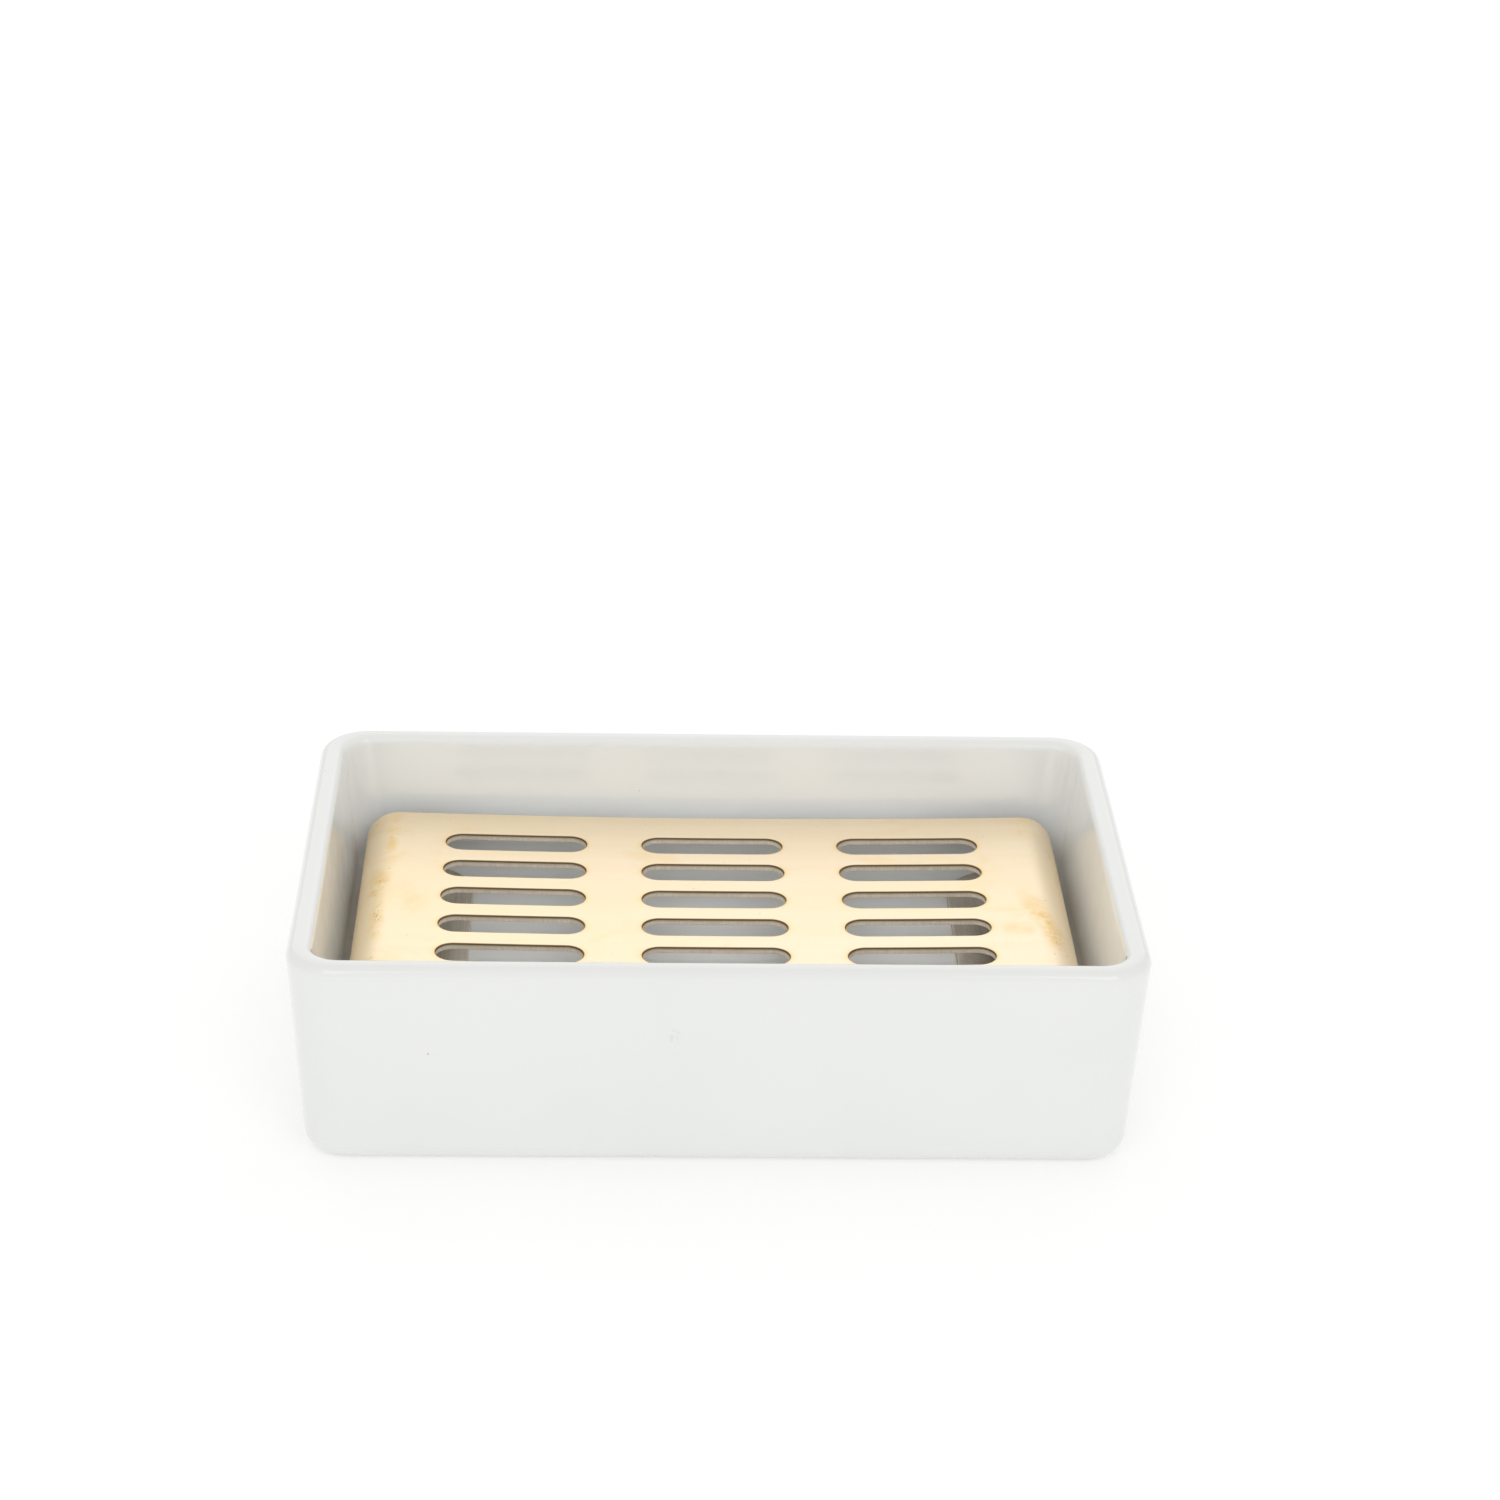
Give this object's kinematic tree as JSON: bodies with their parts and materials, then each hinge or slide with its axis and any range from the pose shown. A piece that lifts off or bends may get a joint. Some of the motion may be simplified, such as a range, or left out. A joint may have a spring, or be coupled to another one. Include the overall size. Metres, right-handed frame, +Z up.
{
  "type": "soap dish",
  "caption": "Rectangular glazed ceramic soap dish with a slotted gold-coloured sheet steel drain tray, curled at both ends, standing inside it and lifting out.",
  "frame": {"origin": "middle of the foot, on the surface the dish stands on", "axes": "+X along the long side to the right, +Y to the rear, +Z up"},
  "size_m": [0.1298, 0.0838, 0.0345],
  "materials": {
    "gold_coated_steel": "light gold coating on the outer face, satin; bare brushed steel on the inner face and the cut edges",
    "white_glaze": "smooth white gloss glaze"
  },
  "bodies": {
    "root": {"drain_tray": "gold_coated_steel", "ceramic_dish": "white_glaze"}
  },
  "joints": []
}
